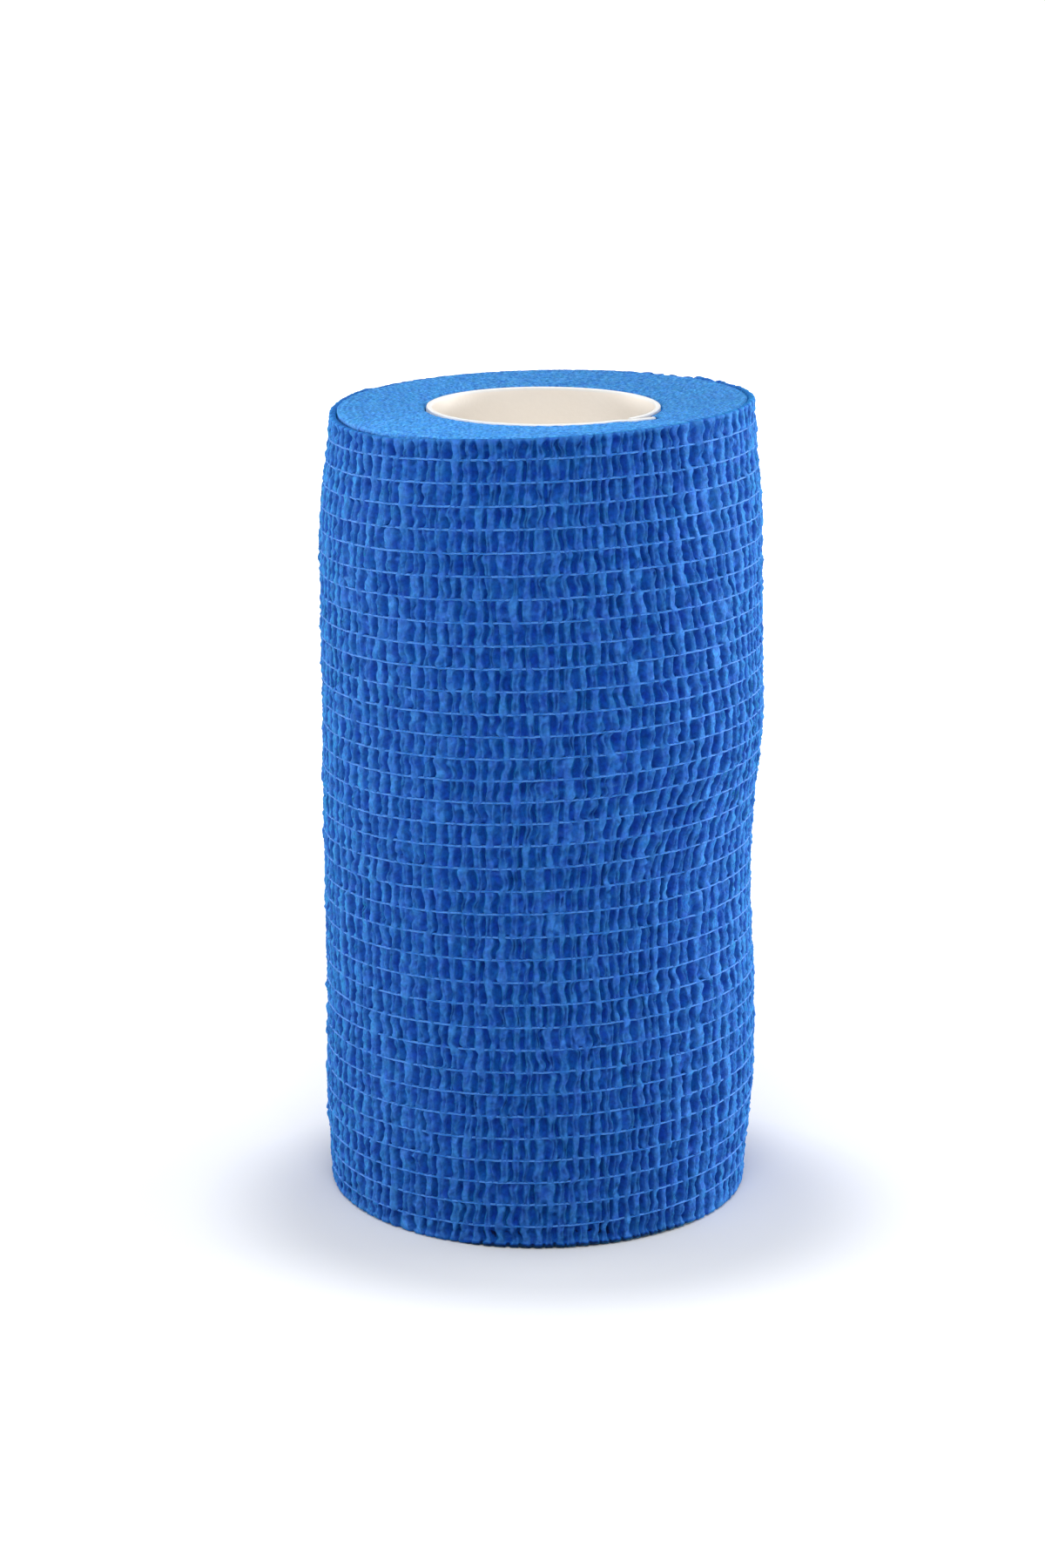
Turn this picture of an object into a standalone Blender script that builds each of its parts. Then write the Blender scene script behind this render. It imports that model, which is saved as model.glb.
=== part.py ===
"""A roll of crinkled cohesive bandage, wound on a core of rolled plastic sheet and stood on end.

Metres, +Z up. The origin is on the floor under the middle of the roll, and the front faces -Y.
An angle round the roll is measured from the front towards the right, so the right side is at 90.
"""

from collections import namedtuple
from math import cos, floor, pi, radians, sin

import bmesh
import bpy

# The bandage, as it is wound
BANDAGE_WIDTH = 0.100
WARP_THREADS = 35  # elastic threads that gather the cloth into rows
TOP_ROW_SHARE = 0.89  # the row over the first thread is cut short, as a share of a whole row
BASE_ROW_SHARE = 0.98  # and so is the row under the last
ROW_DEPTH = 0.00035  # how far a thread draws the cloth in between two rows
BELLY_SHARES = (0.25, 0.75)  # a row swells between these shares of its height
TURN_THICKNESS = 0.0007  # one crinkled turn of cloth, so also the step at its cut end
CUT_END_ANGLE = radians(238)  # the end is pressed down at the back, towards the left
CUT_END_WIDTH = radians(0.9)  # the step's own width round the roll
CLOTH_SIDES = 46
BORE_SIDES = 90

# The core, one strip of white plastic sheet rolled until it laps over itself
CORE_OUTER_RADIUS = 0.01443
CORE_SHIFT_X = 0.00029  # it sits a little to the right of the cloth's middle
SHEET_THICKNESS = 0.0009
LAP_START_ANGLE = radians(47.5)  # the strip's inner end
LAP_RISE_ANGLE = radians(9.5)  # over this much the outer layer climbs onto the inner one
LAP_END_ANGLE = radians(57.5)  # the strip's outer end, which springs a little further out
LAP_FLARE = 0.0006
LAP_ROOM_ANGLE = radians(4)  # the cloth bridges the step on each side of the lap by this much
FIT_GAP = 0.0003  # between the two layers of the lap, and between core and cloth
CORE_EDGE = 0.0002  # the sheet's cut edges are broken by this much
CORE_SIDES = 64

# The end faces. The top one lies a little aslant, and its rim stands proud of the core at the right
TOP_RIM_ROUND = 0.0005
BASE_RIM_ROUND = 0.0005
BORE_RIM_ROUND = 0.0004
TOP_RIM_LIFT = 0.0004
TOP_RIM_SLANT = 0.00084
FRONT_SLANT_SHARE = 0.45  # how much more the rim slants at the front, and less at the back

# The wound form from the floor up, at even steps of height. In millimetres: the radius over the
# rows, the shift to the right, how much less it measures across than from front to back, how far
# the rows have crept up at the front, how much higher they run at the right side than at the
# front, and how far both sides hang below a straight line
Section = namedtuple("Section", "radius shift_x oval creep slant bow")
WOUND_FORM = (
    Section(27.60, -0.12, 1.05, 0.10, 0.70, 0.00),
    Section(27.40, 0.13, 0.05, 0.36, 0.93, 0.25),
    Section(27.25, 0.17, 0.00, 0.56, 0.84, 0.50),
    Section(27.00, -0.15, 0.00, 0.84, 0.88, 0.50),
    Section(27.33, 0.02, 0.00, 1.28, 1.36, 0.50),
    Section(27.55, 0.36, 0.00, 0.86, 1.10, 0.33),
    Section(27.50, 0.24, 0.00, 0.70, 1.05, 0.50),
    Section(27.30, 0.12, 0.00, 0.70, 1.12, 0.78),
    Section(26.10, 0.25, 0.00, 0.38, 1.12, 0.45),
)
MILLIMETRE = 0.001


def clear_scene():
    for old in list(bpy.data.objects):
        bpy.data.objects.remove(old, do_unlink=True)


def form_at(height, column):
    """A column of the wound form at any height, on a smooth curve through its rows, in metres."""
    values = [getattr(section, column) * MILLIMETRE for section in WOUND_FORM]
    steps = len(values) - 1
    place = min(max(height / BANDAGE_WIDTH, 0.0), 1.0) * steps
    low = min(int(place), steps - 1)
    t = place - low
    start, end = values[low], values[low + 1]
    slope_out = (end - values[max(low - 1, 0)]) / 2
    slope_in = (values[min(low + 2, steps)] - start) / 2
    square = 3 * (end - start) - 2 * slope_out - slope_in
    cube = slope_out + slope_in - 2 * (end - start)
    return start + t * (slope_out + t * (square + t * cube))


def share_past(angle, start):
    """How far round from a start an angle lies, as a share of a whole turn from 0 up to 1."""
    turns = (angle - start) / (2 * pi)
    return turns - floor(turns)


def smooth_step(value):
    value = min(max(value, 0.0), 1.0)
    return value * value * (3 - 2 * value)


def wall_point(angle, nominal_height, height, inset=0.0):
    """A point on the cloth's outside, which is a spiral that steps down at the cut end."""
    spiral = TURN_THICKNESS * (0.5 - share_past(angle, CUT_END_ANGLE))
    oval = form_at(nominal_height, "oval") * sin(angle) ** 2
    radius = form_at(nominal_height, "radius") + spiral - oval - inset
    x = form_at(nominal_height, "shift_x") + radius * sin(angle)
    return (x, -radius * cos(angle), height)


def row_pitch():
    return BANDAGE_WIDTH / (TOP_ROW_SHARE + WARP_THREADS - 1 + BASE_ROW_SHARE)


def thread_heights(angle):
    """The nominal and the real height of each thread at an angle, from the floor up."""
    heights = []
    for thread in range(WARP_THREADS):
        nominal = (BASE_ROW_SHARE + thread) * row_pitch()
        slant = form_at(nominal, "slant") * sin(angle)
        bow = form_at(nominal, "bow") * sin(angle) ** 2
        heights.append((nominal, nominal + form_at(nominal, "creep") + slant - bow))
    return heights


def top_height(angle, share_out):
    """The end face's height, from the core's level at the bore out to the slanting rim."""
    slant = TOP_RIM_SLANT * sin(angle) * (1 + FRONT_SLANT_SHARE * cos(angle))
    return BANDAGE_WIDTH + (TOP_RIM_LIFT + slant) * share_out


def lap_climb(angle):
    """How far the core's outer layer stands off its circle, at an angle from the front."""
    past = angle - LAP_START_ANGLE
    climb = (SHEET_THICKNESS + FIT_GAP) * smooth_step(past / LAP_RISE_ANGLE + 1)
    return climb + LAP_FLARE * smooth_step(past / (LAP_END_ANGLE - LAP_START_ANGLE))


def bore_point(angle, height, widen=0.0):
    """A point on the cloth's bore, which follows the core and eases out around its lap."""
    signed = share_past(angle, -pi) * 2 * pi - pi
    fall = smooth_step((signed - LAP_END_ANGLE - LAP_ROOM_ANGLE / 2) / LAP_ROOM_ANGLE)
    bulge = lap_climb(signed + LAP_ROOM_ANGLE) * (1 - fall)
    radius = CORE_OUTER_RADIUS + FIT_GAP + bulge + widen
    return (CORE_SHIFT_X + radius * sin(angle), -radius * cos(angle), height)


def cloth_outline(angle):
    """The outside of the wound cloth at one angle, from its base up and onto the end face."""
    low_round = BASE_RIM_ROUND * 0.3
    points = [
        wall_point(angle, 0.0, 0.0, BASE_RIM_ROUND),
        wall_point(angle, 0.0, low_round, low_round),
        wall_point(angle, 0.0, BASE_RIM_ROUND),
    ]
    low_nominal, low = 0.0, BASE_RIM_ROUND
    for nominal, height in thread_heights(angle):
        points += row_belly(angle, low_nominal, low, nominal, height)
        points.append(wall_point(angle, nominal, height, ROW_DEPTH))
        low_nominal, low = nominal, height
    rim = top_height(angle, 1.0)
    points += row_belly(angle, low_nominal, low, BANDAGE_WIDTH, rim - TOP_RIM_ROUND)
    points += [
        wall_point(angle, BANDAGE_WIDTH, rim - TOP_RIM_ROUND),
        wall_point(angle, BANDAGE_WIDTH, rim, TOP_RIM_ROUND),
    ]
    return points


def row_belly(angle, low_nominal, low, high_nominal, high):
    """Two points of the swelling of a row between the threads under and over it."""
    points = []
    for share in BELLY_SHARES:
        nominal = low_nominal + (high_nominal - low_nominal) * share
        points.append(wall_point(angle, nominal, low + (high - low) * share))
    return points


def bore_outline(angle):
    """The cloth's bore at one angle, from the end face down to the base."""
    top = top_height(angle, 0.0)
    return [
        bore_point(angle, top, BORE_RIM_ROUND),
        bore_point(angle, top - BORE_RIM_ROUND),
        bore_point(angle, BORE_RIM_ROUND),
        bore_point(angle, 0.0, BORE_RIM_ROUND),
    ]


def core_section(angle):
    """The strip's cross-section at one angle: a thin upright plate with broken edges."""
    outside = CORE_OUTER_RADIUS + lap_climb(angle - 2 * pi)
    inside = outside - SHEET_THICKNESS
    corners = (
        (inside, CORE_EDGE),
        (inside + CORE_EDGE, 0.0),
        (outside - CORE_EDGE, 0.0),
        (outside, CORE_EDGE),
        (outside, BANDAGE_WIDTH - CORE_EDGE),
        (outside - CORE_EDGE, BANDAGE_WIDTH),
        (inside + CORE_EDGE, BANDAGE_WIDTH),
        (inside, BANDAGE_WIDTH - CORE_EDGE),
    )
    return [
        (CORE_SHIFT_X + radius * sin(angle), -radius * cos(angle), height)
        for radius, height in corners
    ]


def loft(bm, sections, closed):
    """A skin from outline to outline, round again if it is closed, and the rings of its points."""
    rings = [[bm.verts.new(point) for point in section] for section in sections]
    spans = list(zip(rings, rings[1:]))
    if closed:
        spans.append((rings[-1], rings[0]))
    for ring, following in spans:
        for k in range(1, len(ring)):
            bm.faces.new((ring[k - 1], ring[k], following[k], following[k - 1]))
    return rings


def edges_round(rings, index):
    """The edges that join one point of each outline to the same point of the next."""
    points = [ring[index] for ring in rings]
    neighbours = zip(points, points[1:] + points[:1])
    return [edge for here, there in neighbours for edge in here.link_edges if there in edge.verts]


def make_piece(name, bm):
    """Close the shape's normals and put it in the scene under its own name."""
    mesh = bpy.data.meshes.new(name)
    bmesh.ops.recalc_face_normals(bm, faces=bm.faces)
    bm.to_mesh(mesh)
    bm.free()
    mesh.shade_smooth()
    mesh.set_sharp_from_angle(angle=radians(40))
    piece = bpy.data.objects.new(name, mesh)
    bpy.context.scene.collection.objects.link(piece)
    return piece


def finish(piece, colour, roughness):
    """Give a piece a material of its own."""
    material = bpy.data.materials.new(piece.name + "_finish")
    material.use_nodes = True
    shader = material.node_tree.nodes["Principled BSDF"]
    shader.inputs["Base Color"].default_value = (*colour, 1.0)
    shader.inputs["Roughness"].default_value = roughness
    shader.inputs["Metallic"].default_value = 0.0
    piece.data.materials.append(material)


def build_wound_cloth():
    bm = bmesh.new()
    turn = 2 * pi - CUT_END_WIDTH
    angles = [CUT_END_ANGLE + turn * k / (CLOTH_SIDES - 1) for k in range(CLOTH_SIDES)]
    outside = loft(bm, [cloth_outline(angle) for angle in angles], closed=True)
    angles = [CUT_END_ANGLE + 2 * pi * k / BORE_SIDES for k in range(BORE_SIDES)]
    bore = loft(bm, [bore_outline(angle) for angle in angles], closed=True)
    for outer_index, bore_index in ((0, -1), (-1, 0)):
        rims = edges_round(outside, outer_index) + edges_round(bore, bore_index)
        bmesh.ops.bridge_loops(bm, edges=rims)
    cloth = make_piece("wound_bandage_cloth", bm)
    finish(cloth, (0.015, 0.13, 0.60), 0.95)


def build_core():
    bm = bmesh.new()
    sweep = 2 * pi + LAP_END_ANGLE - LAP_START_ANGLE
    angles = [LAP_START_ANGLE + sweep * k / CORE_SIDES for k in range(CORE_SIDES + 1)]
    rings = loft(bm, [core_section(angle) for angle in angles], closed=False)
    for ring, following in zip(rings, rings[1:]):
        bm.faces.new((ring[-1], ring[0], following[0], following[-1]))
    bm.faces.new(rings[0])
    bm.faces.new(list(reversed(rings[-1])))
    core = make_piece("rolled_sheet_core", bm)
    finish(core, (0.88, 0.86, 0.80), 0.4)


clear_scene()
build_wound_cloth()
build_core()
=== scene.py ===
"""The looks of a crinkled cohesive bandage roll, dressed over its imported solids.

Metres, +Z up, front towards -Y. An angle round the roll is measured from the front towards the
right. A nominal height is where a point would lie if the rows ran level, and an inset is how far
a point lies inside the smooth form that the roll was wound to.
"""

from collections import namedtuple
from math import cos, pi, radians, sin

import bpy
import numpy as np
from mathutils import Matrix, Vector, noise


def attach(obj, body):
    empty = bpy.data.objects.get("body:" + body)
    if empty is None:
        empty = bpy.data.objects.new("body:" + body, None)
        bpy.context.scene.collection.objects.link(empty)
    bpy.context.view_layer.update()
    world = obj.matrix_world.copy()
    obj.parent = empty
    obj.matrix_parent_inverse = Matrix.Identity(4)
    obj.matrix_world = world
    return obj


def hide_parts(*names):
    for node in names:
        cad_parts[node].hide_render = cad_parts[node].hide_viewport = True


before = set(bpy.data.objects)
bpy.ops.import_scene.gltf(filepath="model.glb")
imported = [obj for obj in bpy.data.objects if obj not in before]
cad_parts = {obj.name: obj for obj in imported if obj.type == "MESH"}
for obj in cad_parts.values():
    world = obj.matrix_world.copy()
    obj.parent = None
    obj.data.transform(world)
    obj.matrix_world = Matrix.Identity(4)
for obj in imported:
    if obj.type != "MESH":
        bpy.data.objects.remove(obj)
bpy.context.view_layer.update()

# ---- The core ------------------------------------------------------------------------------
# A strip of white plastic sheet, rolled into a tube until its ends lap. The outer end climbs
# over the inner one and springs a little off it. The bandage was wound on it and holds it shut.

BANDAGE_WIDTH = 0.100
CORE_OUTER_RADIUS = 0.01443
CORE_SHIFT_X = 0.00029  # it sits a little to the right of the cloth's middle
SHEET_THICKNESS = 0.00065
LAP_STAND_OFF = 0.0012  # from the inner layer's outside to the outer layer's
LAP_START = radians(47.5)  # the strip's inner end
LAP_RISE = radians(9.5)  # over this much the outer layer climbs onto the inner one
LAP_END = radians(57.5)  # the strip's outer end
LAP_FLARE = 0.0006
SHEET_EDGE = 0.00018  # the sheet's cut edges are broken by this much
BROKEN_CORNER = radians(60)  # and only corners sharper than this are
SMOOTH_CORNER = radians(40)  # a corner less sharp than this is shaded smooth
CORE_STEPS = 150

SHEET_CREAM = (0.98, 0.925, 0.855, 1.0)
SHEET_CREAM_DARK = (0.96, 0.895, 0.81, 1.0)
SHEET_CUT_LIT_WHITE = (0.95, 0.95, 0.94, 1.0)
CUT_WHITE_FROM = 2.5  # edge widths under the top, up to one, the white comes up: the cut's own white and painted light where the lamps catch the top
SHEET_SPECULAR = 0.4
SHEET_ROUGHNESS = (0.36, 0.52)
SHEET_CLOUDS = 90  # patches to the metre, as in every noise scale below
SHEET_GRAIN = 1800
SHEET_GRAIN_HEIGHT = 0.00006
NOISE_LOW, NOISE_HIGH = 0.3, 0.7  # nearly all of a noise lies between these values


def smooth_step(value):
    value = np.clip(value, 0.0, 1.0)
    return value * value * (3 - 2 * value)


def lap_climb(angle):
    """How far the core's outer layer stands off its circle, at an angle from the front."""
    past = angle - LAP_START
    climb = LAP_STAND_OFF * smooth_step(past / LAP_RISE + 1)
    return climb + LAP_FLARE * smooth_step(past / (LAP_END - LAP_START))


def mesh_points(piece):
    points = np.empty(len(piece.data.vertices) * 3)
    piece.data.vertices.foreach_get("co", points)
    return points.reshape(-1, 3)


def move_points(piece, points):
    piece.data.vertices.foreach_set("co", np.asarray(points, np.float32).ravel())
    piece.data.update()


def new_material(name, specular):
    """A new material, its nodes, links and shader."""
    material = bpy.data.materials.new(name)
    material.use_nodes = True
    nodes, links = material.node_tree.nodes, material.node_tree.links
    shader = nodes["Principled BSDF"]
    shader.inputs["Specular IOR Level"].default_value = specular
    return material, nodes, links, shader


def noise_node(nodes, links, coordinates, scale, detail=2.0, roughness=0.5):
    texture = nodes.new("ShaderNodeTexNoise")
    texture.inputs["Scale"].default_value = scale
    texture.inputs["Detail"].default_value = detail
    texture.inputs["Roughness"].default_value = roughness
    links.new(coordinates, texture.inputs["Vector"])
    return texture.outputs["Fac"]


def ramp_node(nodes, links, value, stops):
    """A colour ramp over a value, from its (place, colour) stops."""
    ramp = nodes.new("ShaderNodeValToRGB")
    for stop in stops[2:]:
        ramp.color_ramp.elements.new(stop[0])
    for element, (place, colour) in zip(ramp.color_ramp.elements, sorted(stops)):
        element.position = place
        element.color = colour
    links.new(value, ramp.inputs["Fac"])
    return ramp.outputs["Color"]


def range_node(nodes, links, value, span, limits, interpolation="LINEAR"):
    """A value that runs between two limits while another runs over a span."""
    ranged = nodes.new("ShaderNodeMapRange")
    ranged.interpolation_type = interpolation
    ranged.inputs["From Min"].default_value = span[0]
    ranged.inputs["From Max"].default_value = span[1]
    ranged.inputs["To Min"].default_value = limits[0]
    ranged.inputs["To Max"].default_value = limits[1]
    links.new(value, ranged.inputs["Value"])
    return ranged.outputs["Result"]


def bump_node(nodes, links, height, distance, strength):
    bump = nodes.new("ShaderNodeBump")
    bump.inputs["Distance"].default_value = distance
    bump.inputs["Strength"].default_value = strength
    links.new(height, bump.inputs["Height"])
    return bump


def white_sheet():
    """Satin white sheet, cloudy and fine-grained, and whiter along its cut edge at the top, partly
    the cut's own white and partly painted light where the lamps catch it.
    """
    material, nodes, links, shader = new_material("white_plastic_sheet", SHEET_SPECULAR)
    place = nodes.new("ShaderNodeTexCoord").outputs["Object"]
    clouds = noise_node(nodes, links, place, SHEET_CLOUDS, detail=3.0)
    cream = ramp_node(
        nodes, links, clouds, [(NOISE_LOW, SHEET_CREAM_DARK), (NOISE_HIGH, SHEET_CREAM)]
    )
    height = nodes.new("ShaderNodeSeparateXYZ")
    links.new(place, height.inputs[0])
    cut = (BANDAGE_WIDTH - CUT_WHITE_FROM * SHEET_EDGE, BANDAGE_WIDTH - SHEET_EDGE)
    cut_lit = range_node(nodes, links, height.outputs["Z"], cut, (0.0, 1.0))
    # the cut's own white, partly painted light, coming up at the top
    colour = nodes.new("ShaderNodeMix")
    colour.data_type = "RGBA"
    links.new(cut_lit, colour.inputs["Factor"])
    links.new(cream, colour.inputs["A"])
    colour.inputs["B"].default_value = SHEET_CUT_LIT_WHITE
    links.new(colour.outputs["Result"], shader.inputs["Base Color"])
    grain = noise_node(nodes, links, place, SHEET_GRAIN, detail=4.0)
    bump = bump_node(nodes, links, grain, SHEET_GRAIN_HEIGHT, strength=0.5)
    links.new(bump.outputs["Normal"], shader.inputs["Normal"])
    rough = range_node(nodes, links, clouds, (0.0, 1.0), SHEET_ROUGHNESS)
    links.new(rough, shader.inputs["Roughness"])
    return material


bpy.ops.object.select_all(action="DESELECT")
bpy.ops.mesh.primitive_grid_add(x_subdivisions=CORE_STEPS, y_subdivisions=1, size=1)
core = bpy.context.object
core.name = "rolled_sheet_tube"
flat = mesh_points(core)
lap_turn = LAP_START + (flat[:, 0] + 0.5) * (2 * pi + LAP_END - LAP_START)
sheet_middle = CORE_OUTER_RADIUS + lap_climb(lap_turn - 2 * pi) - SHEET_THICKNESS / 2
move_points(core, np.column_stack((
    CORE_SHIFT_X + sheet_middle * np.sin(lap_turn),
    -sheet_middle * np.cos(lap_turn),
    (flat[:, 1] + 0.5) * BANDAGE_WIDTH,
)))
thickness = core.modifiers.new("sheet_thickness", "SOLIDIFY")
thickness.thickness = SHEET_THICKNESS
thickness.offset = 0.0
bpy.ops.object.modifier_apply(modifier=thickness.name)
broken_edge = core.modifiers.new("broken_edge", "BEVEL")
broken_edge.width = SHEET_EDGE
broken_edge.segments = 2
broken_edge.limit_method = "ANGLE"
broken_edge.angle_limit = BROKEN_CORNER
bpy.ops.object.modifier_apply(modifier=broken_edge.name)
bpy.ops.object.mode_set(mode="EDIT")
bpy.ops.mesh.select_all(action="SELECT")
bpy.ops.mesh.normals_make_consistent(inside=False)
bpy.ops.object.mode_set(mode="OBJECT")
bpy.ops.object.shade_smooth_by_angle(angle=SMOOTH_CORNER)
core.data.materials.append(white_sheet())
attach(core, "root")
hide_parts("rolled_sheet_core")

# ---- The wound cloth, in four bands of rows ------------------------------------------------
# Crinkled non-woven cloth, soaked with rubber so that it clings to itself. Elastic threads run
# round it, and between two of them it gathers into a row of upright ridges and hollows. The
# outermost turn is modelled whole, down to its own two cut edges, with the turns under it solid.

MILLIMETRE = 0.001
TURN_THICKNESS = 0.0007
CUT_END = radians(238)  # the outer turn's end is pressed down at the back, towards the left
CUT_END_WIDTH = radians(0.9)
CORE_GAP = 0.0001  # between core and cloth
LAP_ROOM = radians(4)  # the cloth bridges the step on each side of the core's lap by this much

# The wound form from the floor up, at even steps of height, in millimetres: the radius, the
# shift to the right, how much less it measures across than from front to back, how far the rows
# have crept up at the front, how much higher they run at the right, how far both sides hang
Section = namedtuple("Section", "radius shift_x oval creep slant bow")
WOUND_FORM = (
    Section(27.60, -0.12, 1.05, 0.10, 0.70, 0.00),
    Section(27.40, 0.13, 0.05, 0.36, 0.93, 0.25),
    Section(27.25, 0.17, 0.00, 0.56, 0.84, 0.50),
    Section(27.00, -0.15, 0.00, 0.84, 0.88, 0.50),
    Section(27.33, 0.02, 0.00, 1.28, 1.36, 0.50),
    Section(27.55, 0.36, 0.00, 0.86, 1.10, 0.33),
    Section(27.50, 0.24, 0.00, 0.70, 1.05, 0.50),
    Section(27.30, 0.12, 0.00, 0.70, 1.12, 0.78),
    Section(26.10, 0.25, 0.00, 0.38, 1.12, 0.45),
)

# A zone of the roll: the angles, in degrees, where it starts, is full, begins to fade and ends
Zone = namedtuple("Zone", "start full fade end")

SHOULDER_ZONE = Zone(35, 75, 110, 150)
SHOULDER_HEIGHT = 0.0525  # here the roll steps in at the right, from over this height to under it
SHOULDER_REACH = 0.0055
SHOULDER_STEP = 0.00022


def form_at(nominal, column):
    """A column of the wound form at a height, on a smooth curve through its rows, in metres."""
    values = [getattr(section, column) * MILLIMETRE for section in WOUND_FORM]
    steps = len(values) - 1
    place = min(max(nominal / BANDAGE_WIDTH, 0.0), 1.0) * steps
    low = min(int(place), steps - 1)
    t = place - low
    start, end = values[low], values[low + 1]
    slope_out = (end - values[max(low - 1, 0)]) / 2
    slope_in = (values[min(low + 2, steps)] - start) / 2
    square = 3 * (end - start) - 2 * slope_out - slope_in
    cube = slope_out + slope_in - 2 * (end - start)
    return start + t * (slope_out + t * (square + t * cube))


def share_past(angle, start):
    """How far round from a start an angle lies, as a share of a whole turn from 0 up to 1."""
    return ((angle - start) / (2 * pi)) % 1.0


def signed(angle):
    """The same angle as seen from the front, to the left below 0 and to the right above."""
    return share_past(angle, -pi) * 2 * pi - pi


def in_zone(angle, zone):
    """0 outside a zone, 1 where it is full, and smooth between."""
    degrees = np.degrees(signed(angle))
    rise = smooth_step((degrees - zone.start) / (zone.full - zone.start))
    return rise * (1 - smooth_step((degrees - zone.fade) / (zone.end - zone.fade)))


def shoulder_at(angle, nominal):
    """How far the step at the right stands out over the wound form, or less than 0 for in."""
    up = (nominal - SHOULDER_HEIGHT) / SHOULDER_REACH
    return SHOULDER_STEP * up * np.exp((1 - up * up) / 2) * in_zone(angle, SHOULDER_ZONE)


def wall_points(angle, nominal, height, inset):
    """Points on the cloth's outside, which is a spiral that steps down at the cut end."""
    spiral = TURN_THICKNESS * (0.5 - share_past(angle, CUT_END))
    oval = form_at(nominal, "oval") * np.sin(angle) ** 2
    radius = form_at(nominal, "radius") + spiral - oval - inset + shoulder_at(angle, nominal)
    x = form_at(nominal, "shift_x") + radius * np.sin(angle)
    return np.column_stack((x, -radius * np.cos(angle), np.broadcast_to(height, angle.shape)))


def bore_points(angle, height, widen=0.0):
    """Points on the cloth's bore, which follows the core and eases out around its lap."""
    fall = smooth_step((signed(angle) - LAP_END - LAP_ROOM / 2) / LAP_ROOM)
    bulge = lap_climb(signed(angle) + LAP_ROOM) * (1 - fall)
    radius = CORE_OUTER_RADIUS + CORE_GAP + bulge + widen
    x = CORE_SHIFT_X + radius * np.sin(angle)
    return np.column_stack((x, -radius * np.cos(angle), np.broadcast_to(height, angle.shape)))


def round_angles(steps):
    """Even angles once round the roll, from the cut end to just before it."""
    return CUT_END + np.arange(steps) * (2 * pi - CUT_END_WIDTH) / (steps - 1)


def crinkle(points, size, seed, stretch=1.0):
    """Smooth noise from about -1 to 1 over points, with bumps of a size, stretched in height."""
    scaled = points / (size, size, size * stretch) + (seed, 0, 0)
    return np.array([noise.noise(point) for point in scaled])


# The rows of cloth, and the lines between them where the threads lie
WARP_THREADS = 35
TOP_ROW_SHARE = 0.89  # the row over the top thread is cut short, as a share of a whole row
BASE_ROW_SHARE = 0.98  # and so, by less, is the row under the lowest thread
ROW_PITCH = BANDAGE_WIDTH / (TOP_ROW_SHARE + WARP_THREADS - 1 + BASE_ROW_SHARE)
ROWS = WARP_THREADS + 1

BASE_RIM_ROUND = 0.0005
TOP_RIM_ROUND = 0.0002
TOP_RIM_LIFT = 0.0004
TOP_RIM_SLANT = 0.00084
FRONT_SLANT_SHARE = 0.45  # how much more the rim slants at the front, and less at the back
TOP_EDGE_DROP = 0.00055  # how far the outermost turn hangs under the end face, at the left
TOP_DROP_ZONE = Zone(-125, -62, -50, -18)
BASE_EDGE_LIFT = 0.00010  # how far its lower edge stands off the table, at the front right
BASE_LIFT_ZONE = Zone(-20, 5, 35, 60)
BASE_EDGE_WAVE = 0.00022  # and up to this much more in waves all round
BASE_WAVE_SIZE = 0.05  # radians
BASE_WAVE_SEED = 3.0


def top_height(angle, share_out):
    """The end face's height, from the core's level at the bore out to the slanting rim."""
    slant = TOP_RIM_SLANT * np.sin(angle) * (1 + FRONT_SLANT_SHARE * np.cos(angle))
    return BANDAGE_WIDTH + (TOP_RIM_LIFT + slant) * share_out


def base_edge_lift(angle):
    """How far the outermost turn's lower edge stands off the table."""
    circle = np.column_stack((np.sin(angle), np.cos(angle), 0 * angle))
    waves = np.abs(crinkle(circle, BASE_WAVE_SIZE, BASE_WAVE_SEED))
    return BASE_EDGE_LIFT * in_zone(angle, BASE_LIFT_ZONE) + BASE_EDGE_WAVE * waves


def line_nominal(line):
    """The nominal height of a line between rows. Line 0 is the base rim, the last the top rim."""
    if line == 0:
        return 0.0
    if line == ROWS:
        return BANDAGE_WIDTH
    return (BASE_ROW_SHARE + line - 1) * ROW_PITCH


def line_height(line, angle):
    """Where a line really runs: it has crept up, slants and sags round the roll."""
    nominal = line_nominal(line)
    if line == 0:
        return BASE_RIM_ROUND + base_edge_lift(angle)
    if line == ROWS:
        drop = TOP_EDGE_DROP * in_zone(angle, TOP_DROP_ZONE)
        return top_height(angle, 1.0) - TOP_RIM_ROUND - drop
    slant = form_at(nominal, "slant") * np.sin(angle)
    bow = form_at(nominal, "bow") * np.sin(angle) ** 2
    return nominal + form_at(nominal, "creep") + slant - bow


# The ridges, in each row, and how much closer together than elsewhere they stand in some zones
RIDGES = 95
RIDGE_SEED = 11
FRONT_GATHERING = 0.25
FRONT_GATHERED = Zone(-40, -12, 22, 55)
RIGHT_GATHERING = 0.14
RIGHT_GATHERED = Zone(2, 14, 30, 45)
SIDE_GATHERING = -0.10  # but further apart where the right side turns away
SIDE_GATHERED = Zone(30, 45, 80, 100)
GATHERING_STEPS = 1441

# Where they stand, in distances between ridges
RIDGE_OFF_PLACE = 0.05  # in every row alike
RIDGE_DRIFT = 0.16  # from row to row
DRIFT_KEPT = 0.2  # the share of one row's drift that the next row keeps
LEAST_GAP = 0.76  # between two ridges
EVENING_PASSES = 6  # over a row, after which few gaps are less
CUT_END_ROOM = 0.3  # between a ridge and the cut end
HOLLOW_OFF_MIDDLE = 0.12
RIDGE_SWAY = 0.085  # to one side low in the row and to the other high in it
RIDGE_BOW = 0.08
JOG_SHARE = 0.12  # of a row's height over which a ridge settles from one row's place to the next's

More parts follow.
